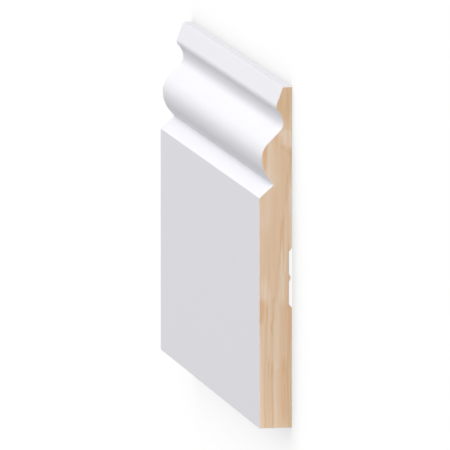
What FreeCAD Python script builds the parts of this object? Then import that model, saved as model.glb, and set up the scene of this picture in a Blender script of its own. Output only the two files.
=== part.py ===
"""One length of moulded skirting board, lying on its back face.

X runs along the length, Y from the foot to the moulded top edge, and Z from the back to the painted face.
The origin is the middle of the back face. Sizes are in millimetres and degrees.
"""
import FreeCAD, Part
import math
import os

import Sketcher

# Each size has its name, its value and what it measures. Drops run down from the top edge towards the foot, and
# sinks go in from the flat face.
SIZES = (
    ("board_length", 300, "cut length, end to end"),
    ("board_width", 185, "foot to top edge"),
    ("board_thickness", 18, "back to flat face"),
    ("top_edge_thickness", 5.2, "wood left at the top edge"),
    ("nose_drop", 10.6, "top edge to the centre of the rounded nose"),
    ("nose_radius", 3.5, "rounded nose under the slanted fillet"),
    ("nose_rise", 3.7, "how far the nose stands out past the cove"),
    ("neck_thickness", 5.1, "wood left behind the deepest line of the cove"),
    ("cove_upper_radius", 10.5, "hollow above the cove's deepest line"),
    ("cove_lower_radius", 5, "hollow below the cove's deepest line"),
    ("ogee_slope", 45, "straight run between cove and bulge, against the back"),
    ("bulge_upper_radius", 12, "round above the bulge's crown"),
    ("bulge_lower_radius", 17, "round below the bulge's crown"),
    ("bulge_sink", 1.2, "bulge's crown behind the flat face"),
    ("quirk_run", 4.1, "straight run from the bulge into the quirk"),
    ("quirk_sink", 7.8, "sharp inner corner behind the flat face"),
    ("shoulder_drop", 7, "quirk to the top of the flat face"),
    ("relief_centre", 81.5, "foot to the middle of the back relief"),
    ("relief_width", 32.6, "back relief, at the back face"),
    ("relief_depth", 1.6, "back face to the relief's floor"),
    ("relief_flank", 2, "width of each sloped side of the relief"),
    ("rib_width", 4, "root of the rounded rib along the relief's middle"),
    ("rib_height", 0.8, "rounded rib above the relief's floor"),
)

# The points of a sketch edge, and the sketch's own origin.
START, END, CENTRE = range(1, 4)
ORIGIN = (-1, START)

# The ways that an arc's middle can face in a sketch: out of the board's face, or into its back.
OUTWARD, INWARD = FreeCAD.Vector(0, 1, 0), FreeCAD.Vector(0, -1, 0)

# Where the constraints settle an arc's end, the arc is first drawn turning by about this many degrees.
ROUGH_TURN = 40


def sine(degrees):
    return math.sin(math.radians(degrees))


def cosine(degrees):
    return math.cos(math.radians(degrees))


def add_sheet(doc):
    """The sheet of driving sizes, one row each, with the name, the value and what it measures."""
    sheet = doc.addObject("Spreadsheet::Sheet", "Sizes")
    for row, (name, value, meaning) in enumerate(SIZES, start=1):
        sheet.set(f"A{row}", name)
        sheet.set(f"B{row}", str(value))
        sheet.set(f"C{row}", meaning)
        sheet.setAlias(f"B{row}", name)
    doc.recompute()
    return sheet


def add_section_sketch(body, name):
    """A sketch across the board. Its first axis is the board's Y, and its second is the board's Z."""
    sketch = body.newObject("Sketcher::SketchObject", name)
    plane = next(f for f in body.Origin.OriginFeatures if f.Role == "YZ_Plane")
    sketch.AttachmentSupport = [(plane, "")]
    sketch.MapMode = "FlatFace"
    return sketch


def line(sketch, start, end):
    """Adds a straight edge and returns its number."""
    segment = Part.LineSegment(FreeCAD.Vector(*start, 0), FreeCAD.Vector(*end, 0))
    return sketch.addGeometry(segment, False)


def arc(sketch, centre, radius, facing, before, after):
    """Adds an arc and returns its number. It turns anticlockwise, from before the way it faces to after it."""
    circle = Part.Circle(FreeCAD.Vector(*centre, 0), FreeCAD.Vector(0, 0, 1), radius)
    middle = math.atan2(facing.y, facing.x)
    turn = (middle - math.radians(before), middle + math.radians(after))
    return sketch.addGeometry(Part.ArcOfCircle(circle, *turn), False)


def relate(sketch, kind, *places, value=()):
    """Adds a constraint and returns its number. Each place is an edge's number or an (edge, point) pair."""
    numbers = []
    for place in places:
        numbers.extend(place if isinstance(place, tuple) else (place,))
    return sketch.addConstraint(Sketcher.Constraint(kind, *numbers, *value))


def measure(sketch, name, kind, places, value, formula):
    """Adds a named dimension and binds it to the sheet of sizes."""
    sketch.renameConstraint(relate(sketch, kind, *places, value=(value,)), name)
    sketch.setExpression(f"Constraints.{name}", formula)


def draw_moulding(sketch, size):
    """The whole section but the back relief: along the back, over the top edge, down the moulded face and round
    the foot. It is drawn about in place, and the constraints settle it."""
    top, foot = size["board_width"] / 2, -size["board_width"] / 2
    face, neck = size["board_thickness"], size["neck_thickness"]
    crown, quirk = face - size["bulge_sink"], face - size["quirk_sink"]
    slope = size["ogee_slope"]
    nose_round, upper_hollow = size["nose_radius"], size["cove_upper_radius"]
    lower_hollow, upper_round = size["cove_lower_radius"], size["bulge_upper_radius"]
    lower_round = size["bulge_lower_radius"]

    nose_y, nose_z = top - size["nose_drop"], neck + size["nose_rise"]
    reach = nose_round + upper_hollow
    cove_y = nose_y - math.sqrt(reach**2 - (reach - size["nose_rise"]) ** 2)
    run_top_y, run_top_z = cove_y - lower_hollow * sine(slope), neck + lower_hollow * (1 - cosine(slope))
    run_foot_z = crown - upper_round * (1 - cosine(slope))
    run_foot_y = run_top_y - (run_foot_z - run_top_z) * cosine(slope) / sine(slope)
    crown_y = run_foot_y - upper_round * sine(slope)
    run_in_y = crown_y - lower_round * sine(ROUGH_TURN)
    run_in_z = crown - lower_round * (1 - cosine(ROUGH_TURN))
    quirk_y = run_in_y - size["quirk_run"] * cosine(ROUGH_TURN)
    shoulder_y = quirk_y - size["shoulder_drop"]

    back = line(sketch, (foot, 0), (top, 0))
    edge = line(sketch, (top, 0), (top, size["top_edge_thickness"]))
    fillet = line(sketch, (top, size["top_edge_thickness"]), (nose_y, nose_z))
    nose = arc(sketch, (nose_y, nose_z - nose_round), nose_round, OUTWARD, ROUGH_TURN / 2, ROUGH_TURN)
    upper_cove = arc(sketch, (cove_y, neck + upper_hollow), upper_hollow, INWARD, 0, ROUGH_TURN)
    lower_cove = arc(sketch, (cove_y, neck + lower_hollow), lower_hollow, INWARD, slope, 0)
    run = line(sketch, (run_top_y, run_top_z), (run_foot_y, run_foot_z))
    upper_bulge = arc(sketch, (crown_y, crown - upper_round), upper_round, OUTWARD, slope, 0)
    lower_bulge = arc(sketch, (crown_y, crown - lower_round), lower_round, OUTWARD, 0, ROUGH_TURN)
    run_in = line(sketch, (run_in_y, run_in_z), (quirk_y, quirk))
    shoulder = line(sketch, (quirk_y, quirk), (shoulder_y, face))
    front = line(sketch, (shoulder_y, face), (foot, face))
    sole = line(sketch, (foot, face), (foot, 0))

    corners = ((back, edge), (edge, fillet), (run_in, shoulder), (shoulder, front), (front, sole), (sole, back))
    for before, after in corners:
        relate(sketch, "Coincident", (before, END), (after, START))
    for one, other in (
        ((fillet, END), (nose, START)),
        ((nose, END), (upper_cove, END)),
        ((upper_cove, START), (lower_cove, END)),
        ((lower_cove, START), (run, START)),
        ((run, END), (upper_bulge, START)),
        ((upper_bulge, END), (lower_bulge, START)),
        ((lower_bulge, END), (run_in, START)),
    ):
        relate(sketch, "Tangent", one, other)
    relate(sketch, "Vertical", (upper_cove, CENTRE), (upper_cove, START))
    relate(sketch, "Vertical", (upper_bulge, CENTRE), (upper_bulge, END))
    relate(sketch, "Symmetric", (back, START), (back, END), ORIGIN)
    relate(sketch, "Horizontal", back)
    relate(sketch, "Vertical", edge)
    relate(sketch, "Vertical", sole)
    relate(sketch, "Horizontal", front)

    top_corner = (back, END)
    for name, kind, places, value, formula in (
        ("width", "DistanceX", ((back, START), top_corner), top - foot, "Sizes.board_width"),
        ("thickness", "DistanceY", ((back, START), (front, END)), face, "Sizes.board_thickness"),
        ("top_edge", "DistanceY", (top_corner, (edge, END)), size["top_edge_thickness"],
         "Sizes.top_edge_thickness"),
        ("nose_drop", "DistanceX", ((nose, CENTRE), top_corner), size["nose_drop"], "Sizes.nose_drop"),
        ("nose_round", "Radius", (nose,), nose_round, "Sizes.nose_radius"),
        ("nose_depth", "DistanceY", (ORIGIN, (nose, CENTRE)), nose_z - nose_round,
         "Sizes.neck_thickness + Sizes.nose_rise - Sizes.nose_radius"),
        ("neck", "DistanceY", (ORIGIN, (upper_cove, START)), neck, "Sizes.neck_thickness"),
        ("upper_hollow", "Radius", (upper_cove,), upper_hollow, "Sizes.cove_upper_radius"),
        ("lower_hollow", "Radius", (lower_cove,), lower_hollow, "Sizes.cove_lower_radius"),
        ("run_angle", "Angle", (run,), math.radians(180 - slope), "180 - Sizes.ogee_slope"),
        ("crown", "DistanceY", (ORIGIN, (upper_bulge, END)), crown,
         "Sizes.board_thickness - Sizes.bulge_sink"),
        ("upper_round", "Radius", (upper_bulge,), upper_round, "Sizes.bulge_upper_radius"),
        ("lower_round", "Radius", (lower_bulge,), lower_round, "Sizes.bulge_lower_radius"),
        ("quirk_run", "Distance", ((run_in, START), (run_in, END)), size["quirk_run"], "Sizes.quirk_run"),
        ("quirk", "DistanceY", (ORIGIN, (run_in, END)), quirk, "Sizes.board_thickness - Sizes.quirk_sink"),
        ("shoulder", "DistanceX", ((shoulder, END), (run_in, END)), size["shoulder_drop"],
         "Sizes.shoulder_drop"),
    ):
        measure(sketch, name, kind, places, value, formula)


def rib_radius(size):
    """The radius of the rib's round top, from its root and its height."""
    return ((size["rib_width"] / 2) ** 2 + size["rib_height"] ** 2) / (2 * size["rib_height"])


def draw_relief(sketch, size):
    """The shallow relief in the back: a flat floor with sloped sides, and a low rounded rib along its middle."""
    middle = size["relief_centre"] - size["board_width"] / 2
    half, depth = size["relief_width"] / 2, size["relief_depth"]
    floor_half, root = half - size["relief_flank"], size["rib_width"] / 2
    radius = rib_radius(size)
    spread = math.degrees(math.atan2(root, radius - size["rib_height"]))

    mouth = line(sketch, (middle - half, 0), (middle + half, 0))
    upper_side = line(sketch, (middle + half, 0), (middle + floor_half, depth))
    upper_floor = line(sketch, (middle + floor_half, depth), (middle + root, depth))
    rib_centre = (middle, depth - size["rib_height"] + radius)
    rib = arc(sketch, rib_centre, radius, INWARD, spread, spread)
    lower_floor = line(sketch, (middle - root, depth), (middle - floor_half, depth))
    lower_side = line(sketch, (middle - floor_half, depth), (middle - half, 0))

    for before, after in (
        ((mouth, END), (upper_side, START)),
        ((upper_side, END), (upper_floor, START)),
        ((upper_floor, END), (rib, END)),
        ((rib, START), (lower_floor, START)),
        ((lower_floor, END), (lower_side, START)),
        ((lower_side, END), (mouth, START)),
    ):
        relate(sketch, "Coincident", before, after)
    relate(sketch, "Horizontal", ORIGIN, (mouth, START))
    relate(sketch, "Horizontal", mouth)
    relate(sketch, "Horizontal", upper_floor)
    relate(sketch, "Horizontal", lower_floor)
    relate(sketch, "Horizontal", (upper_floor, END), (lower_floor, START))

    for name, kind, places, value, formula in (
        ("mouth_place", "DistanceX", ((mouth, START), ORIGIN), half - middle,
         "Sizes.board_width / 2 - Sizes.relief_centre + Sizes.relief_width / 2"),
        ("mouth_width", "DistanceX", ((mouth, START), (mouth, END)), 2 * half, "Sizes.relief_width"),
        ("depth", "DistanceY", ((mouth, END), (upper_side, END)), depth, "Sizes.relief_depth"),
        ("upper_flank", "DistanceX", ((upper_side, END), (mouth, END)), half - floor_half,
         "Sizes.relief_flank"),
        ("lower_flank", "DistanceX", ((mouth, START), (lower_side, START)), half - floor_half,
         "Sizes.relief_flank"),
        ("rib_root", "DistanceX", ((rib, START), (rib, END)), 2 * root, "Sizes.rib_width"),
        ("rib_place", "DistanceX", ((mouth, START), (rib, START)), half - root,
         "(Sizes.relief_width - Sizes.rib_width) / 2"),
        ("rib_round", "Radius", (rib,), radius,
         "((Sizes.rib_width / 2) ^ 2 + Sizes.rib_height ^ 2) / (2 * Sizes.rib_height)"),
    ):
        measure(sketch, name, kind, places, value, formula)


def add_board(doc, size):
    """The board: its section run along the length, with the relief cut along its back from end to end."""
    board = doc.addObject("PartDesign::Body", "SkirtingBoard")
    board.Label = "skirting_board"

    section = add_section_sketch(board, "Section")
    draw_moulding(section, size)
    moulded = board.newObject("PartDesign::Pad", "MouldedLength")
    moulded.Profile = section
    moulded.SideType = "Symmetric"
    moulded.setExpression("Length", "Sizes.board_length")
    doc.recompute()

    relief_section = add_section_sketch(board, "ReliefSection")
    draw_relief(relief_section, size)
    relief = board.newObject("PartDesign::Pocket", "BackRelief")
    relief.Profile = relief_section
    relief.SideType = "Symmetric"
    relief.setExpression("Length", "Sizes.board_length")
    board.Tip = relief
    doc.recompute()
    return board, moulded, relief


def check(doc, board, moulded, relief, size):
    """Stops if a feature failed, a sketch is loose, the solid is bad or the relief took off the wrong amount."""
    for item in doc.Objects:
        if {"Invalid", "Error"} & set(item.State):
            raise RuntimeError(f"{item.Label} failed: {item.State}")
        if item.TypeId == "Sketcher::SketchObject" and not item.FullyConstrained:
            raise RuntimeError(f"{item.Label} isn't fully constrained")
    shape = board.Shape
    if shape.isNull() or not shape.isValid() or len(shape.Solids) != 1:
        raise RuntimeError("the board isn't one valid solid")
    radius = rib_radius(size)
    half_turn = math.atan2(size["rib_width"] / 2, radius - size["rib_height"])
    rib_area = radius**2 * (half_turn - math.sin(half_turn) * math.cos(half_turn))
    relief_area = size["relief_depth"] * (size["relief_width"] - size["relief_flank"]) - rib_area
    removed, expected = moulded.Shape.Volume - relief.Shape.Volume, relief_area * size["board_length"]
    if not math.isclose(removed, expected, rel_tol=0.001):
        raise RuntimeError(f"the back relief took off {removed:.1f} mm3, not {expected:.1f} mm3")


def main():
    os.makedirs("parts", exist_ok=True)
    doc = FreeCAD.newDocument("SkirtingBoard")
    sheet = add_sheet(doc)
    size = {name: float(sheet.get(name)) for name, _, _ in SIZES}
    board, moulded, relief = add_board(doc, size)
    check(doc, board, moulded, relief, size)
    board.Shape.exportStep(f"parts/{board.Label}.step")
    box = board.Shape.BoundBox
    spans = " x ".join(f"{span:.2f}" for span in (box.XLength, box.YLength, box.ZLength))
    print(f"{board.Label}: {spans} mm, {board.Shape.Volume:.0f} mm3")


main()
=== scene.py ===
"""Looks of a short length of moulded skirting board, lying on its back face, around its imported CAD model.

X runs along the length, Y from the foot to the moulded top edge and Z from the back to the painted face.
"""
import math

import bmesh
import bpy
from bpy.props import FloatProperty, FloatVectorProperty, PointerProperty
from mathutils import Matrix, Vector


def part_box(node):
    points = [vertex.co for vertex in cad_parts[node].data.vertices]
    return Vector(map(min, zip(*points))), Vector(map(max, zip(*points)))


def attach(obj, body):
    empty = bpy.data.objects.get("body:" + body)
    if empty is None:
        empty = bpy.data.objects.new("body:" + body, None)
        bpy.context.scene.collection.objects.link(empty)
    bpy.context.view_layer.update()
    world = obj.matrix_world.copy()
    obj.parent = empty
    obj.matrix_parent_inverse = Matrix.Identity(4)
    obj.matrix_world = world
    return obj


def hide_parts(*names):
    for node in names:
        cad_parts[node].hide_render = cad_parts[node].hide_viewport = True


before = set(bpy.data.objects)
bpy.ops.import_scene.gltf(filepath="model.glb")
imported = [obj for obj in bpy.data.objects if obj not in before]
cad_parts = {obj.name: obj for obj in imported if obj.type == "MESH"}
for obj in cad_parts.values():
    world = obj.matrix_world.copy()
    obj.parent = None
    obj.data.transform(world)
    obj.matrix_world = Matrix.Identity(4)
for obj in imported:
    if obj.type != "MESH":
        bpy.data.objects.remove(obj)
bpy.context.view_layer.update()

bl_info = {
    "name": "Skirting Board Length",
    "version": (1, 0, 0),
    "blender": (4, 5, 0),
    "location": "3D View > Sidebar > Skirting",
    "description": "A length of primed pine skirting board with an ogee moulding, and its studio stage",
    "category": "Add Mesh",
}

MM = 0.001
FOOT_BACK, TOP_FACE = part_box("skirting_board")
BOARD = TOP_FACE - FOOT_BACK

# Rounds are drawn in facets of about this turn, and arrises and rims in this many facets.
FACET_TURN = math.radians(3)
ARRIS_FACETS = 4
# Faces that meet at more than this angle keep a sharp edge between them.
SHARP_FROM = math.radians(30)
# Points of the drawn section that are nearer than this become one.
MERGE_DISTANCE = MM / 1000
# A face is part of an end or of the back if more than this much of its normal points that way. One of the
# back also lies no higher than the floor of the relief, give or take the slack.
END_FACING = 0.9
BACK_FACING = 0.5
SLACK = MM / 100

# The baked picture is a square, with this margin round each part of the board's skin.
UV_MARGIN = 0.006


def length(name, default, description):
    """A property that holds a length, from a default in millimetres."""
    return FloatProperty(name=name, description=description, default=default * MM, unit="LENGTH", precision=5)


def colour(name, default, description):
    """A property that holds a linear colour."""
    return FloatVectorProperty(name=name, description=description, default=default, subtype="COLOR",
                               min=0, max=1)


class SkirtingSizes(bpy.types.PropertyGroup):
    """Sizes of the moulded section. Drops run down from the top edge, and sinks go in from the flat face."""
    board_length: length("Length", BOARD.x / MM, "Cut length, end to end")
    board_width: length("Width", BOARD.y / MM, "Foot to top edge")
    board_thickness: length("Thickness", BOARD.z / MM, "Back to flat face")
    top_edge_thickness: length("Top edge", 5.2, "Wood left at the top edge")
    nose_drop: length("Nose drop", 10.6, "Top edge to the centre of the rounded nose")
    nose_radius: length("Nose radius", 3.5, "Rounded nose under the slanted fillet")
    nose_rise: length("Nose rise", 3.7, "How far the nose stands out past the cove")
    neck_thickness: length("Neck", 5.1, "Wood left behind the deepest line of the cove")
    cove_upper_radius: length("Upper cove radius", 10.5, "Hollow above the cove's deepest line")
    cove_lower_radius: length("Lower cove radius", 5, "Hollow below the cove's deepest line")
    ogee_slope: FloatProperty(name="Ogee slope", default=math.radians(45), subtype="ANGLE",
                              description="Straight run between cove and bulge, against the back")
    bulge_upper_radius: length("Upper bulge radius", 12, "Round above the bulge's crown")
    bulge_lower_radius: length("Lower bulge radius", 17, "Round below the bulge's crown")
    bulge_sink: length("Bulge sink", 1.2, "Bulge's crown behind the flat face")
    quirk_run: length("Quirk run", 4.1, "Straight run from the bulge into the quirk")
    quirk_sink: length("Quirk sink", 7.8, "Inner corner behind the flat face")
    shoulder_drop: length("Shoulder drop", 7, "Quirk to the top of the flat face")
    relief_centre: length("Relief centre", 81.5, "Foot to the middle of the back relief")
    relief_width: length("Relief width", 32.6, "Back relief, at the back face")
    relief_depth: length("Relief depth", 1.6, "Back face to the relief's floor")
    relief_flank: length("Relief flank", 2, "Width of each sloped side of the relief")
    rib_width: length("Rib width", 4, "Root of the rounded rib along the relief's middle")
    rib_height: length("Rib height", 0.8, "Rounded rib above the relief's floor")
    arris_radius: length("Arris radius", 0.35, "Round that sanding and primer leave on a long edge")
    rim_radius: length("Rim radius", 0.2, "Round that the saw and the primer leave round an end")


class SkirtingFinishes(bpy.types.PropertyGroup):
    """Colours of the board's two finishes."""
    primer: colour("Primer", (0.86, 0.857, 0.90), "White acrylic primer on the long faces")
    thin_primer: colour("Thin primer", (0.80, 0.785, 0.76), "One thin coat on the back")
    pine_red: colour("Red pine", (0.72, 0.45, 0.255), "Reddish late wood of the bare ends")
    pine_brown: colour("Brown pine", (0.67, 0.458, 0.262), "Brownish late wood of the bare ends")
    pine_mid: colour("Middle pine", (0.765, 0.556, 0.38), "Body of the bare ends")
    pine_light: colour("Light pine", (0.81, 0.645, 0.495), "Early wood of the bare ends")


class Wire:
    """A socket in a node tree. Python's arithmetic on it adds Math nodes."""

    def __init__(self, nodes, socket):
        self.nodes, self.socket = nodes, socket

    def __add__(self, other):
        return self.nodes.math("ADD", self, other)

    def __radd__(self, other):
        return self.nodes.math("ADD", other, self)

    def __sub__(self, other):
        return self.nodes.math("SUBTRACT", self, other)

    def __rsub__(self, other):
        return self.nodes.math("SUBTRACT", other, self)

    def __mul__(self, other):
        return self.nodes.math("MULTIPLY", self, other)

    def __rmul__(self, other):
        return self.nodes.math("MULTIPLY", other, self)

    def __truediv__(self, other):
        return self.nodes.math("DIVIDE", self, other)

    def __rtruediv__(self, other):
        return self.nodes.math("DIVIDE", other, self)

    def __abs__(self):
        return self.nodes.math("ABSOLUTE", self)


# The places of a Mix node's colour sockets, which share their names with its other sockets.
MIX_FACTOR, MIX_FIRST, MIX_SECOND = 0, 6, 7
MIX_RESULT = 2


class Nodes:
    """Adds nodes to a tree and joins them up."""

    def __init__(self, owner):
        owner.use_nodes = True
        self.tree = owner.node_tree
        self.tree.nodes.clear()

    def add(self, kind, settings, inputs, output=0):
        """Adds a node of a type. Its settings come first, then the values or links of its sockets."""
        node = self.tree.nodes.new(kind)
        for name, value in settings.items():
            setattr(node, name, value)
        for key, value in inputs.items():
            if isinstance(value, Wire):
                self.tree.links.new(value.socket, node.inputs[key])
            else:
                node.inputs[key].default_value = value
        return Wire(self, node.outputs[output]) if node.outputs else None

    def math(self, operation, *values):
        """One step of arithmetic on values."""
        return self.add("ShaderNodeMath", {"operation": operation}, dict(enumerate(values)))

    def noise(self, point, scale, stretch=(1, 1, 1), shift=(0, 0, 0), detail=2, roughness=0.5):
        """Noise of about one feature per 1/scale metre, finer or coarser along each axis by its stretch."""
        placed = self.add("ShaderNodeMapping", {}, {"Vector": point, "Location": shift, "Scale": stretch})
        return self.add("ShaderNodeTexNoise", {}, {"Vector": placed, "Scale": scale, "Detail": detail,
                                                   "Roughness": roughness}, "Fac")

    def fade(self, value, start, end, to=1):
        """A smooth step from 0 at the start to its full value at the end."""
        return self.add("ShaderNodeMapRange", {"interpolation_type": "SMOOTHSTEP"},
                        {"Value": value, "From Min": start, "From Max": end, "To Min": 0, "To Max": to})

    def mix(self, factor, first, second):
        """A colour between two others."""
        return self.add("ShaderNodeMix", {"data_type": "RGBA"},
                        {MIX_FACTOR: factor, MIX_FIRST: first, MIX_SECOND: second}, MIX_RESULT)

    def blend(self, share, first, *second):
        """A shader between two others, or between one and black."""
        return self.add("ShaderNodeMixShader", {}, dict(enumerate((share, first, *second))))

    def surface(self, inputs, height, depth):
        """The finished surface: a Principled shader, with a relief of a depth where the height is 1."""
        normal = self.add("ShaderNodeBump", {}, {"Height": height, "Distance": depth})
        shader = self.add("ShaderNodeBsdfPrincipled", {}, {"Normal": normal, **inputs})
        self.add("ShaderNodeOutputMaterial", {}, {"Surface": shader})


def opaque(value):
    """A colour property as the four numbers that a colour socket takes."""
    return (*value, 1)


def grey(tone):
    """A grey as the four numbers that a colour socket takes."""
    return opaque((tone, tone, tone))


# How dull the two finishes are, how much of a sheen the primer has, and how deep their relief is.
PRIMER_ROUGHNESS = 0.58
PRIMER_SHEEN = 0.2
PRIMER_RELIEF = 0.025 * MM
PINE_ROUGHNESS = 0.62
PINE_RELIEF = 0.04 * MM
# How much of the wood shows at most through the thin coat on the back.
THIN_COAT_SHOW = 0.35


def make_primer(name, white, wood, show):
    """Sprayed and sanded primer, with fine lines along the length and a slight peel. The wood shows through
    by up to a share, which is 0 where the coat is full."""
    material = bpy.data.materials.new(name)
    nodes = Nodes(material)
    point = nodes.add("ShaderNodeTexCoord", {}, {}, "Object")
    lines = nodes.noise(point, 800, stretch=(0.012, 1, 1), detail=3, roughness=0.6)
    peel = nodes.noise(point, 420, shift=(3, 1, 2), detail=1)
    cloud = nodes.noise(point, 14, stretch=(0.5, 1, 1), shift=(1, 4, 2))
    grain = nodes.noise(point, 130, stretch=(0.03, 1, 1), shift=(5, 2, 7), detail=3)

    thin = nodes.fade(grain, 0.42, 0.7, to=show)
    tone = nodes.mix(cloud * 0.5 + lines * 0.3, opaque(white * 0.985), opaque(white))
    body = nodes.mix(thin, tone, opaque(wood))
    roughness = PRIMER_ROUGHNESS + peel * 0.08 + lines * 0.05
    nodes.surface({"Base Color": body, "Roughness": roughness, "Specular IOR Level": PRIMER_SHEEN},
                  lines * 0.6 + peel * 0.4, PRIMER_RELIEF)
    return material


# Noise and the wood's tone both run from 0 to 1 about this.
MIDDLE = 0.5
# How far noise sways the figure of the bare end, up it and through it, in millimetres.
RIPPLE_UP = 6
RIPPLE_THROUGH = 0.8
SWAY_THROUGH = 1.6
# A streak is full up to the core and gone past the rim, both as squares of a distance in half widths.
STREAK_CORE = 0.05
STREAK_RIM = 1.3
# The figure of the bare end, as a planed face shows it. Each streak runs from one (height, depth) to another,
# in millimetres above the foot and in from the back. Then come its half width at both ends, the length of its
# tips and its tone, which is above 0 where the wood is light.
STREAKS = (
    ("top heart", (186, 3.0), (174, 4.4), 7.0, 6.0, 8.0, -0.36),
    ("patch", (160.4, 3.0), (154.6, 1.8), 4.9, 4.2, 2.6, 0.40),
    ("patch's shade", (157.5, 9.0), (154.5, 8.0), 1.3, 1.0, 4.0, -0.20),
    ("patch's rim", (151.0, 5.2), (149.8, 2.0), 1.6, 1.9, 2.0, -0.14),
    ("bulge sliver", (152.6, 15.0), (142.3, 15.2), 1.5, 1.2, 3.0, -0.36),
    ("bulge stripe", (153.0, 11.9), (136.0, 11.2), 1.5, 4.4, 7.0, 0.24),
    ("under the patch", (149.5, 5.4), (130.0, 5.2), 2.4, 2.2, 8.0, -0.14),
    ("long dark, top", (149.0, 1.1), (136.0, 2.0), 1.1, 1.1, 5.0, -0.38),
    ("long dark, upper", (127.0, 2.8), (119.0, 4.3), 1.2, 1.5, 7.0, -0.20),
    ("long dark, middle", (109.0, 5.3), (103.0, 5.9), 1.5, 1.3, 8.0, -0.34),
    ("long dark, lower", (92.0, 7.2), (77.0, 8.9), 1.0, 1.1, 7.0, -0.16),
    ("long dark, foot", (68.0, 9.8), (55.0, 10.8), 1.5, 0.8, 5.0, -0.28),
    ("right light", (124.0, 0.9), (103.0, 0.9), 1.0, 1.0, 8.0, 0.30),
    ("right thread", (118.0, 3.7), (88.0, 4.0), 0.6, 0.7, 6.0, 0.36),
    ("wedge", (98.0, 6.0), (72.0, 5.7), 0.6, 2.5, 7.0, 0.34),
    ("wedge's line", (95.0, 4.9), (85.5, 4.9), 0.45, 0.45, 4.0, -0.36),
    ("right shade", (96.0, 2.4), (70.0, 2.4), 0.9, 0.9, 8.0, -0.24),
    ("left light", (134.0, 14.4), (116.0, 14.8), 3.2, 3.4, 14.0, 0.22),
    ("left shade", (102.0, 13.4), (86.0, 13.0), 4.6, 4.2, 9.0, -0.06),
    ("middle shade", (121.0, 9.1), (92.0, 9.9), 1.9, 1.9, 9.0, -0.10),
    ("arch's light", (77.0, 15.4), (71.5, 14.9), 2.6, 2.8, 5.0, 0.28),
    ("arch", (65.0, 17.6), (61.0, 17.6), 4.1, 3.4, 6.0, -0.36),
    ("arch's side", (63.0, 13.7), (49.0, 14.2), 0.6, 0.6, 4.0, -0.30),
    ("arch's foot", (43.0, 14.3), (0.0, 14.7), 0.6, 0.7, 4.0, -0.30),
    ("arch's inside", (46.0, 16.6), (0.0, 16.8), 1.6, 1.6, 12.0, 0.30),
    ("arch's edge", (71.0, 12.4), (44.0, 12.4), 0.8, 0.6, 8.0, 0.36),
    ("foot middle", (36.0, 12.6), (0.0, 12.6), 1.1, 1.1, 8.0, -0.14),
    ("foot thread", (54.0, 11.0), (32.0, 10.6), 0.6, 0.7, 5.0, -0.14),
    ("foot dark", (32.0, 10.5), (0.0, 10.5), 0.8, 0.8, 6.0, -0.36),
    ("foot light, upper", (64.0, 8.4), (35.0, 8.3), 1.8, 1.8, 6.0, 0.30),
    ("foot light, lower", (27.0, 8.4), (0.0, 8.8), 1.7, 1.1, 4.0, 0.24),
    ("foot right", (60.0, 4.3), (36.0, 4.2), 2.2, 2.3, 8.0, -0.14),
    ("foot red", (27.0, 4.2), (14.0, 4.1), 2.4, 2.4, 12.0, -0.26),
    ("foot back", (64.0, 1.0), (0.0, 1.0), 1.4, 1.4, 5.0, -0.32),
)


def streak(nodes, height, depth, top, foot, top_half, foot_half, tip, tone):
    """One streak of the figure, with rounded tips: how light or dark it makes each point of the end."""
    along = (top[0] - height) / (top[0] - foot[0])
    place = nodes.add("ShaderNodeClamp", {}, {"Value": along})
    half = top_half + place * (foot_half - top_half)
    across = (depth - top[1] + place * (top[1] - foot[1])) / half
    past = (along - place) * ((top[0] - foot[0]) / tip)
    return nodes.fade(across * across + past * past, STREAK_RIM, STREAK_CORE, to=tone)


def make_pine(name, red, brown, middle, light):
    """Bare planed pine, with its figure running up the end, and faint marks of the saw."""
    material = bpy.data.materials.new(name)
    nodes = Nodes(material)
    point = nodes.add("ShaderNodeTexCoord", {}, {}, "Object")
    sway = nodes.noise(point, 22, stretch=(1, 1, 0.6), shift=(2, 0, 5), detail=1)
    ripple = nodes.noise(point, 90, stretch=(1, 1, 0.8), shift=(7, 3, 1), detail=1)
    row, column = (nodes.add("ShaderNodeSeparateXYZ", {}, {"Vector": point}, axis) for axis in ("Y", "Z"))
    height = (row - FOOT_BACK.y) / MM + (ripple - MIDDLE) * RIPPLE_UP
    depth = column / MM + (sway - MIDDLE) * SWAY_THROUGH + (ripple - MIDDLE) * RIPPLE_THROUGH

    figure = MIDDLE
    for _, *shape in STREAKS:
        figure = streak(nodes, height, depth, *shape) + figure

    rings = nodes.noise(point, 520, stretch=(1, 0.035, 1), shift=(4, 1, 3), detail=3, roughness=0.6)
    fibres = nodes.noise(point, 1800, stretch=(1, 0.02, 1), shift=(1, 6, 2), detail=5, roughness=0.75)
    hue = nodes.noise(point, 260, stretch=(1, 0.05, 1), shift=(6, 2, 8), detail=2)
    tone = figure + (rings - MIDDLE) * 0.9 + (fibres - MIDDLE) * 0.8

    # The late wood is browner by the back and by the top edge.
    at_back = nodes.fade(depth, 3.5, 1, to=0.2)
    at_top = nodes.fade(height, 160, 168, to=0.2)
    heart = nodes.mix(nodes.fade(hue + at_back + at_top, 0.45, 0.7), opaque(red), opaque(brown))
    late = nodes.mix(nodes.fade(tone, 0, MIDDLE), heart, opaque(middle))
    wood = nodes.mix(nodes.fade(tone, MIDDLE, 1), late, opaque(light))
    kerf = nodes.noise(point, 900, stretch=(1, 1, 0.02), shift=(9, 4, 4), detail=1)
    roughness = PINE_ROUGHNESS + fibres * 0.12
    nodes.surface({"Base Color": wood, "Roughness": roughness}, fibres * 0.6 + kerf * 0.3, PINE_RELIEF)
    return material


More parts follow.
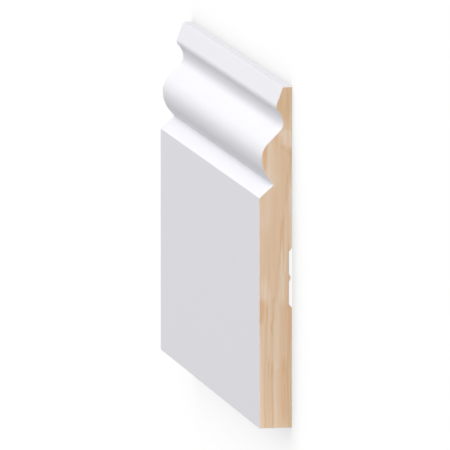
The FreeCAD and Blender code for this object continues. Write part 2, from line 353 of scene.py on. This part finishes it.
class Pen:
    """Draws a section in a bmesh, edge after edge, with Y to the right and Z up. It turns left, or right if
    the angle is below 0."""

    def __init__(self, mesh, start):
        self.mesh = mesh
        self.tip = mesh.verts.new(start)
        self.heading = 0
        self.taken = 0

    def step(self, distance):
        """The way ahead, over a distance."""
        return Vector((0, math.cos(self.heading), math.sin(self.heading))) * distance

    def run(self, distance):
        """A straight run, less what the corner before it took."""
        self.tip = bmesh.ops.extrude_vert_indiv(self.mesh, verts=[self.tip])["verts"][0]
        bmesh.ops.translate(self.mesh, verts=[self.tip], vec=self.step(distance - self.taken))
        self.taken = 0

    def bend(self, angle, radius, facets=0):
        """A round that leaves the last run smoothly. Its angle sets the facets where no number is given."""
        steps = facets or math.ceil(abs(angle) / FACET_TURN)
        self.heading += math.pi / 2
        centre = self.tip.co + self.step(math.copysign(radius, angle))
        self.heading += angle - math.pi / 2
        spun = bmesh.ops.spin(self.mesh, geom=[self.tip], cent=centre, axis=(1, 0, 0), angle=angle,
                              steps=steps)
        self.tip = next(item for item in spun["geom_last"] if isinstance(item, bmesh.types.BMVert))

    def corner(self, angle, radius):
        """A sharp corner with its arris rounded, which takes a little off the runs on both of its sides."""
        taken = radius * math.tan(abs(angle) / 2)
        bmesh.ops.translate(self.mesh, verts=[self.tip], vec=self.step(-taken))
        self.bend(angle, radius, ARRIS_FACETS)
        self.taken = taken

    def crease(self, angle):
        """A corner that stays sharp."""
        self.heading += angle


def draw_back(pen, size):
    """From the foot to the top edge along the back, through the relief and over the rib along its middle."""
    flank = math.atan2(size.relief_depth, size.relief_flank)
    flank_run = math.hypot(size.relief_depth, size.relief_flank)
    floor_run = (size.relief_width - size.rib_width) / 2 - size.relief_flank
    rib_half = size.rib_width / 2
    rib_round = (rib_half**2 + size.rib_height**2) / (2 * size.rib_height)
    rib_turn = math.atan2(rib_half, rib_round - size.rib_height)
    lower_land = size.relief_centre - size.relief_width / 2

    pen.run(lower_land - size.arris_radius)
    pen.crease(flank)
    pen.run(flank_run)
    pen.crease(-flank)
    pen.run(floor_run)
    pen.crease(-rib_turn)
    pen.bend(2 * rib_turn, rib_round)
    pen.crease(-rib_turn)
    pen.run(floor_run)
    pen.crease(-flank)
    pen.run(flank_run)
    pen.crease(flank)
    pen.run(size.board_width - lower_land - size.relief_width)


def draw_moulding(pen, size):
    """From the top edge down the moulded face to the top of the flat face. Returns how far up that is."""
    right_angle = math.pi / 2
    nose_back = size.neck_thickness + size.nose_rise - size.nose_radius
    centre_gap = math.hypot(size.nose_drop, nose_back - size.top_edge_thickness)
    fillet_run = math.sqrt(centre_gap**2 - size.nose_radius**2)
    fillet_turn = (math.atan2(nose_back - size.top_edge_thickness, size.nose_drop)
                   + math.asin(size.nose_radius / centre_gap))
    reach = size.nose_radius + size.cove_upper_radius
    nose_turn = math.acos((reach - size.nose_rise) / reach)
    cove_height = size.board_width - size.nose_drop - reach * math.sin(nose_turn)

    slope = size.ogee_slope
    crown = size.board_thickness - size.bulge_sink
    rounds = (size.cove_lower_radius + size.bulge_upper_radius) * (1 - math.cos(slope))
    ogee_run = (crown - size.neck_thickness - rounds) / math.sin(slope)
    crown_height = (cove_height - (size.cove_lower_radius + size.bulge_upper_radius) * math.sin(slope)
                    - ogee_run * math.cos(slope))

    lower = size.bulge_lower_radius
    quirk_fall = size.quirk_sink - size.bulge_sink
    quirk_reach = math.hypot(lower, size.quirk_run)
    bulge_turn = math.atan2(lower, size.quirk_run) + math.asin((quirk_fall - lower) / quirk_reach)
    quirk_height = crown_height - lower * math.sin(bulge_turn) - size.quirk_run * math.cos(bulge_turn)
    shoulder = math.atan2(size.quirk_sink, size.shoulder_drop)

    pen.corner(right_angle, size.arris_radius)
    pen.run(size.top_edge_thickness)
    pen.corner(right_angle - fillet_turn, size.arris_radius)
    pen.run(fillet_run)
    pen.bend(fillet_turn + nose_turn, size.nose_radius)
    pen.bend(-nose_turn, size.cove_upper_radius)
    pen.bend(-slope, size.cove_lower_radius)
    pen.run(ogee_run)
    pen.bend(slope, size.bulge_upper_radius)
    pen.bend(bulge_turn, lower)
    pen.run(size.quirk_run)
    pen.corner(-bulge_turn - shoulder, size.arris_radius)
    pen.run(math.hypot(size.quirk_sink, size.shoulder_drop))
    pen.corner(shoulder, size.arris_radius)
    return quirk_height - size.shoulder_drop


def draw_face_and_foot(pen, size, face_height):
    """Down the flat face and round the foot to the back."""
    for distance in (face_height, size.board_thickness):
        pen.run(distance)
        pen.corner(math.pi / 2, size.arris_radius)


def round_end(mesh, end, radius):
    """Rounds the rim of an end, ring by ring, from the sides to the face of the end."""
    inset = rise = 0
    for ring in range(1, ARRIS_FACETS + 1):
        angle = math.pi / 2 * ring / ARRIS_FACETS
        new_inset, new_rise = radius * (1 - math.cos(angle)), radius * math.sin(angle)
        bmesh.ops.inset_region(mesh, faces=[end], thickness=new_inset - inset, depth=new_rise - rise,
                               use_even_offset=True, use_boundary=True)
        inset, rise = new_inset, new_rise


def keep_flats_flat(board):
    """Gives the flat faces their own normals, and blends the rounds into them."""
    blend = board.modifiers.new("flat_faces", "WEIGHTED_NORMAL")
    blend.mode = "FACE_AREA"
    blend.weight = 100
    blend.keep_sharp = True


def mark_girth(mesh, section):
    """Writes on each vertex of the section how far round it lies, and returns the whole girth."""
    layer = mesh.verts.layers.float.new("girth")
    girth = 0
    for loop in section.loops:
        loop.vert[layer] = girth
        girth += loop.edge.calc_length()
    return layer, girth


def lay_out_skin(mesh, layer, girth, size):
    """Lays the skin out flat for baking: the long faces as one sheet, and the two ends above it, larger."""
    sheet = mesh.loops.layers.uv.new("OFBake")
    share = 1 - 2 * UV_MARGIN
    sheet_scale, end_scale = share / girth, share / size.board_width
    sheet_top = UV_MARGIN + size.board_length * sheet_scale
    end_room = size.board_thickness * end_scale
    for face in mesh.faces:
        places = [loop.vert[layer] for loop in face.loops]
        wraps = max(places) - min(places) > girth / 2
        for loop, place in zip(face.loops, places):
            spot = loop.vert.co
            if face.material_index == PINE:
                near = face.normal.x > 0
                across = spot.y - FOOT_BACK.y if near else TOP_FACE.y - spot.y
                row = 2 * UV_MARGIN + sheet_top + (end_room + 2 * UV_MARGIN if near else 0)
                loop[sheet].uv = (UV_MARGIN + across * end_scale, row + spot.z * end_scale)
            else:
                round_place = place + (girth if wraps and place < girth / 2 else 0)
                along = size.board_length / 2 - spot.x
                loop[sheet].uv = (UV_MARGIN + round_place * sheet_scale, UV_MARGIN + along * sheet_scale)


# The places of the finishes among the board's materials. A face is primed until it is given another.
PRIMER, PINE, BACK_COAT = range(3)


def add_board(size, finishes):
    """The board, in one closed mesh: its section drawn, run along the length, and its ends rounded."""
    mesh = bmesh.new()
    end_x = size.board_length / 2
    pen = Pen(mesh, (size.rim_radius - end_x, FOOT_BACK.y + size.arris_radius, FOOT_BACK.z))
    draw_back(pen, size)
    face_height = draw_moulding(pen, size)
    draw_face_and_foot(pen, size, face_height)
    bmesh.ops.remove_doubles(mesh, verts=mesh.verts[:], dist=MERGE_DISTANCE)
    section = bmesh.ops.contextual_create(mesh, geom=mesh.edges[:])["faces"][0]
    layer, girth = mark_girth(mesh, section)

    run = bmesh.ops.extrude_face_region(mesh, geom=[section])["geom"]
    moved = [item for item in run if isinstance(item, bmesh.types.BMVert)]
    bmesh.ops.translate(mesh, verts=moved, vec=(size.board_length - 2 * size.rim_radius, 0, 0))
    bmesh.ops.recalc_face_normals(mesh, faces=mesh.faces[:])
    for end in [face for face in mesh.faces if abs(face.normal.x) > END_FACING]:
        round_end(mesh, end, size.rim_radius)
        end.material_index = PINE

    for face in mesh.faces:
        low = face.calc_center_median().z < size.relief_depth + SLACK
        if low and face.normal.z < -BACK_FACING and face.material_index != PINE:
            face.material_index = BACK_COAT
    lay_out_skin(mesh, layer, girth, size)

    data = bpy.data.meshes.new("moulded_board")
    mesh.to_mesh(data)
    mesh.free()
    data.set_sharp_from_angle(angle=SHARP_FROM)
    white, thin_white = Vector(finishes.primer), Vector(finishes.thin_primer)
    data.materials.append(make_primer("white_primer", white, white, 0))
    data.materials.append(make_pine("bare_pine", finishes.pine_red, finishes.pine_brown, finishes.pine_mid,
                                    finishes.pine_light))
    data.materials.append(make_primer("thin_back_primer", thin_white, finishes.pine_mid, THIN_COAT_SHOW))
    board = bpy.data.objects.new("moulded_board", data)
    bpy.context.scene.collection.objects.link(board)
    keep_flats_flat(board)
    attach(board, "root")
    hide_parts("skirting_board")


class SKIRTING_OT_board(bpy.types.Operator):
    """Adds the moulded board with its primer and its bare ends"""
    bl_idname = "skirting.board"
    bl_label = "Moulded Board"

    def execute(self, context):
        add_board(context.scene.skirting_sizes, context.scene.skirting_finishes)
        return {"FINISHED"}


# The stage, in metres. Rays that the camera, a gloss or a glass sends out see white, and the floor keeps the
# shadow. The light on the board comes from the lamps, from a dimmer sky and off the floor.
WHITE = grey(1)
SKY = 0.3
LAMP_DISTANCE = 6
# Each lamp's name, its bearing from +Y towards +X and its height above the floor, both in degrees, its width
# and its power in watts. The top light is low and small, so that the bulge shades the quirk's inner corner.
LAMPS = (
    ("top_light", -20, 24, 1.2, 52),
    ("key", -45, 45, 3.6, 156),
    ("end_fill", 60, 8, 3.6, 346),
)
# The floor is seen mostly as a glow, on which the lamps' shadow is faint. The glow falls by a share of what
# stands within reach of it, and that leaves a soft shade of contact round the board. Light bounces off a
# duller floor, with a pale card beside the foot.
FLOOR_SIZE = 30
FLOOR_GLOW = 0.92
FLOOR_SHOWN = 0.11
FLOOR_LIT = 0.35
CARD_LIT = 0.9
CONTACT_SHARE = 0.45
CONTACT_REACH = 60 * MM
CONTACT_SAMPLES = 8


def seen_directly(nodes):
    """1 for rays from the camera, a gloss or a glass, and 0 for the light that falls on the board."""
    camera, gloss, glass = (nodes.add("ShaderNodeLightPath", {}, {}, kind) for kind in
                            ("Is Camera Ray", "Is Glossy Ray", "Is Transmission Ray"))
    return nodes.fade(camera + gloss + glass, 0, 1)


def add_floor(arris_radius):
    """The floor. Its contact shade starts where the arrises leave it, and stays out of the relief's ends."""
    mesh = bmesh.new()
    bmesh.ops.create_grid(mesh, x_segments=1, y_segments=1, size=FLOOR_SIZE / 2)
    data = bpy.data.meshes.new("floor")
    mesh.to_mesh(data)
    mesh.free()
    material = bpy.data.materials.new("pale_floor")
    nodes = Nodes(material)
    point = nodes.add("ShaderNodeTexCoord", {}, {}, "Object")
    column, row = (nodes.add("ShaderNodeSeparateXYZ", {}, {"Vector": point}, axis) for axis in ("X", "Y"))
    dull, card, faint = (nodes.add("ShaderNodeBsdfDiffuse", {}, {"Color": grey(tone)})
                         for tone in (FLOOR_LIT, CARD_LIT, FLOOR_SHOWN))
    beside_foot = nodes.math("LESS_THAN", row, FOOT_BACK.y)
    lit = nodes.blend(beside_foot, dull, card)

    past_end = abs(column) - BOARD.x / 2
    past_edge = abs(row) - (BOARD.y / 2 - arris_radius)
    outside = nodes.math("GREATER_THAN", nodes.math("MAXIMUM", past_end, past_edge), 0)
    free = nodes.add("ShaderNodeAmbientOcclusion", {"samples": CONTACT_SAMPLES},
                     {"Distance": CONTACT_REACH}, "AO")
    contact = (1 - free) * outside * CONTACT_SHARE
    glow = nodes.add("ShaderNodeEmission", {}, {"Color": WHITE, "Strength": FLOOR_GLOW})
    shown = nodes.add("ShaderNodeAddShader", {}, {0: nodes.blend(contact, glow), 1: faint})
    look = nodes.blend(seen_directly(nodes), lit, shown)
    nodes.add("ShaderNodeOutputMaterial", {}, {"Surface": look})
    data.materials.append(material)
    floor = bpy.data.objects.new("floor", data)
    bpy.context.scene.collection.objects.link(floor)


def add_sky(scene):
    """An even sky, which is seen as white and gives the board a soft grey light."""
    world = bpy.data.worlds.new("studio")
    nodes = Nodes(world)
    soft, white = (nodes.add("ShaderNodeBackground", {}, {"Color": tone, "Strength": 1})
                   for tone in (grey(SKY), WHITE))
    nodes.add("ShaderNodeOutputWorld", {}, {"Surface": nodes.blend(seen_directly(nodes), soft, white)})
    scene.world = world


def add_lamp(name, bearing, rise, width, power):
    """A square soft lamp that faces the middle of the board."""
    data = bpy.data.lights.new(name, "AREA")
    data.size = width
    data.energy = power
    lamp = bpy.data.objects.new(name, data)
    bearing, rise = math.radians(bearing), math.radians(rise)
    level = math.cos(rise)
    way = Vector((math.sin(bearing) * level, math.cos(bearing) * level, math.sin(rise)))
    lamp.location = way * LAMP_DISTANCE
    lamp.rotation_mode = "QUATERNION"
    lamp.rotation_quaternion = way.to_track_quat("Z", "Y")
    lamp.visible_camera = False
    bpy.context.scene.collection.objects.link(lamp)


class SKIRTING_OT_stage(bpy.types.Operator):
    """Adds the pale floor, the soft sky and the lamps"""
    bl_idname = "skirting.stage"
    bl_label = "Studio Stage"

    def execute(self, context):
        add_floor(context.scene.skirting_sizes.arris_radius)
        add_sky(context.scene)
        for lamp in LAMPS:
            add_lamp(*lamp)
        context.scene.view_settings.view_transform = "Standard"
        return {"FINISHED"}


# The camera stands off the near end, a little above the floor, with the board's top edge up in the picture.
# It aims just below the middle of the board. Its distance is in metres and its lens in millimetres.
CAMERA_WAY = Vector((0.97452, 0.13416, 0.17974))
CAMERA_DISTANCE = 6.988
CAMERA_LENS = 1018.46
CAMERA_NEAREST = 0.1
CAMERA_FARTHEST = 100
AIM_DROP = 2.14 * MM


class SKIRTING_OT_camera(bpy.types.Operator):
    """Adds the camera, far off with a long lens, square to the near end"""
    bl_idname = "skirting.camera"
    bl_label = "Camera"

    def execute(self, context):
        data = bpy.data.cameras.new("camera")
        data.lens = CAMERA_LENS
        data.clip_start = CAMERA_NEAREST
        data.clip_end = CAMERA_FARTHEST
        camera = bpy.data.objects.new("camera", data)
        middle = (FOOT_BACK + TOP_FACE) / 2
        back = CAMERA_WAY.normalized()
        right = Vector((0, 1, 0)).cross(back).normalized()
        camera.location = middle + back * CAMERA_DISTANCE
        aim_back = (camera.location - middle + back.cross(right) * AIM_DROP).normalized()
        up = aim_back.cross(right)
        camera.rotation_mode = "QUATERNION"
        camera.rotation_quaternion = Matrix((right, up, aim_back)).transposed().to_quaternion()
        context.scene.collection.objects.link(camera)
        context.scene.camera = camera
        return {"FINISHED"}


class SKIRTING_PT_panel(bpy.types.Panel):
    """Shows the buttons that add the board, stage and camera, and the board's sizes and finishes"""
    bl_label = "Skirting Board"
    bl_idname = "SKIRTING_PT_panel"
    bl_space_type = "VIEW_3D"
    bl_region_type = "UI"
    bl_category = "Skirting"

    def draw(self, context):
        for operator in OPERATORS:
            self.layout.operator(operator.bl_idname)
        for group in (context.scene.skirting_sizes, context.scene.skirting_finishes):
            column = self.layout.column()
            for name in group.__annotations__:
                column.prop(group, name)


OPERATORS = (SKIRTING_OT_board, SKIRTING_OT_stage, SKIRTING_OT_camera)
CLASSES = (SkirtingSizes, SkirtingFinishes, *OPERATORS, SKIRTING_PT_panel)


def register():
    for item in CLASSES:
        bpy.utils.register_class(item)
    bpy.types.Scene.skirting_sizes = PointerProperty(type=SkirtingSizes)
    bpy.types.Scene.skirting_finishes = PointerProperty(type=SkirtingFinishes)


def unregister():
    del bpy.types.Scene.skirting_finishes
    del bpy.types.Scene.skirting_sizes
    for item in reversed(CLASSES):
        bpy.utils.unregister_class(item)


def main():
    register()
    bpy.ops.skirting.board()
    bpy.ops.skirting.stage()
    bpy.ops.skirting.camera()


if __name__ == "__main__":
    main()
